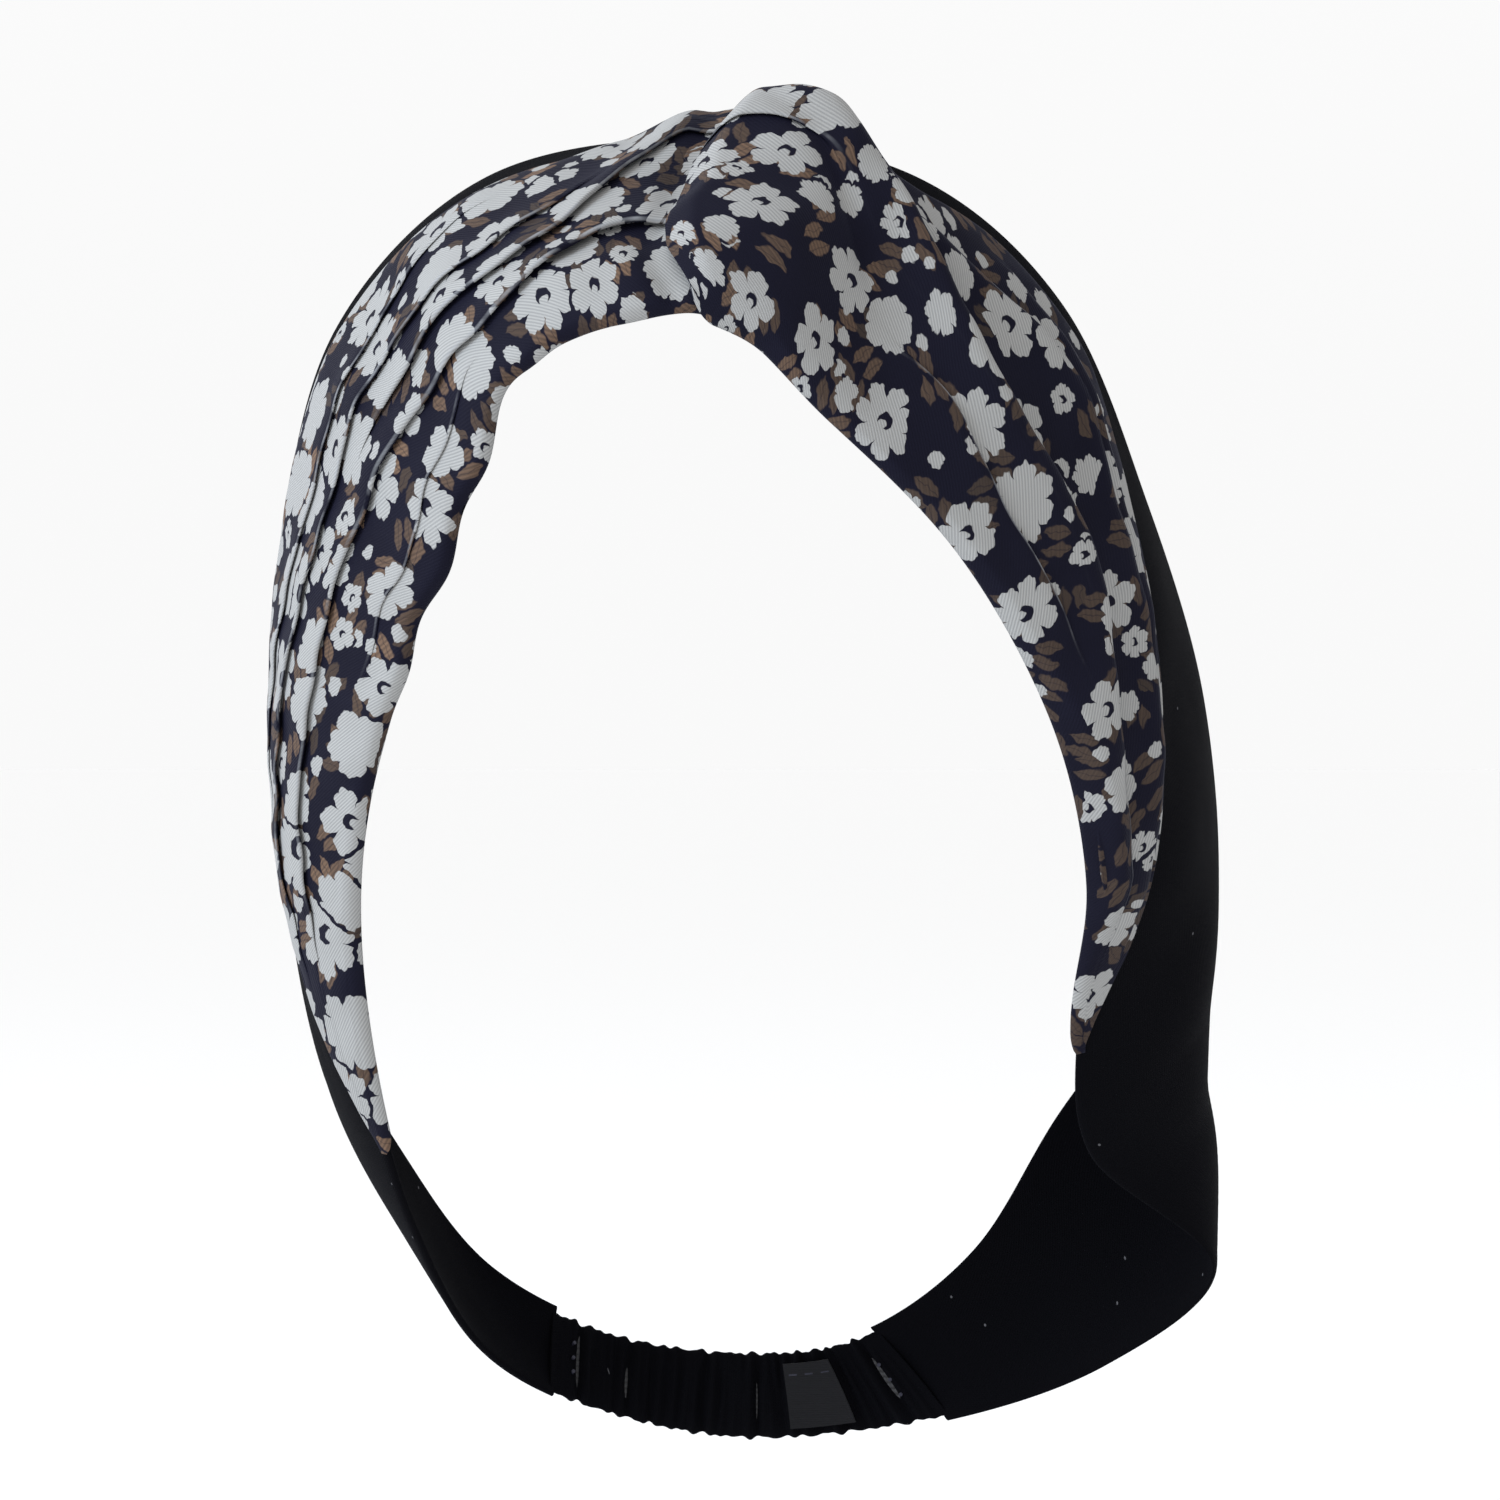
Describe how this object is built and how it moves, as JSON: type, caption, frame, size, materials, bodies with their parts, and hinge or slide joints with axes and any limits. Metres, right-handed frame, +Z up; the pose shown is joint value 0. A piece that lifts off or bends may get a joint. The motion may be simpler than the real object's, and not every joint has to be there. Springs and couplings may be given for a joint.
{
  "type": "knotted headband",
  "caption": "Soft closed-loop headband: pleated printed strips knotted over the crown on a wider black jersey band with a gathered elastic nape.",
  "frame": {"origin": "middle of the crown's front edge, where the band sits on the head above the forehead", "axes": "+X to the viewer's right when the wearer faces the viewer, +Y towards the back of the head, +Z up"},
  "size_m": [0.1803, 0.1404, 0.2531],
  "materials": {
    "printed_cloth": "woven twill, navy ground with off-white flowers and brown leaves",
    "black_jersey": "fine matte jersey knit, near black",
    "thread": "polyester sewing thread, dark navy",
    "elastic": "ribbed flat elastic webbing, black",
    "label_satin": "blank woven satin label, charcoal"
  },
  "bodies": {
    "front": {"front_strip_left": "printed_cloth", "front_strip_right": "printed_cloth", "back_panel_left": "black_jersey", "back_panel_right": "black_jersey", "crown_seam_tape": "black_jersey", "knot_tack": "thread", "edge_seam_left": "thread", "edge_seam_right": "thread", "side_seam_left": "thread", "side_seam_right": "thread"},
    "nape": {"nape_casing": "black_jersey", "nape_elastic": "elastic", "casing_seam_left": "thread", "casing_seam_right": "thread", "elastic_tack_left": "thread", "elastic_tack_right": "thread", "care_label": "label_satin", "label_stitches": "thread"}
  },
  "joints": [
    {"name": "nape_stretch", "type": "slide", "parent": "front", "child": "nape", "axis": [0, 0.55, -0.8352], "range_m": [0, 0.03], "stiffness_N_per_m": 150}
  ]
}
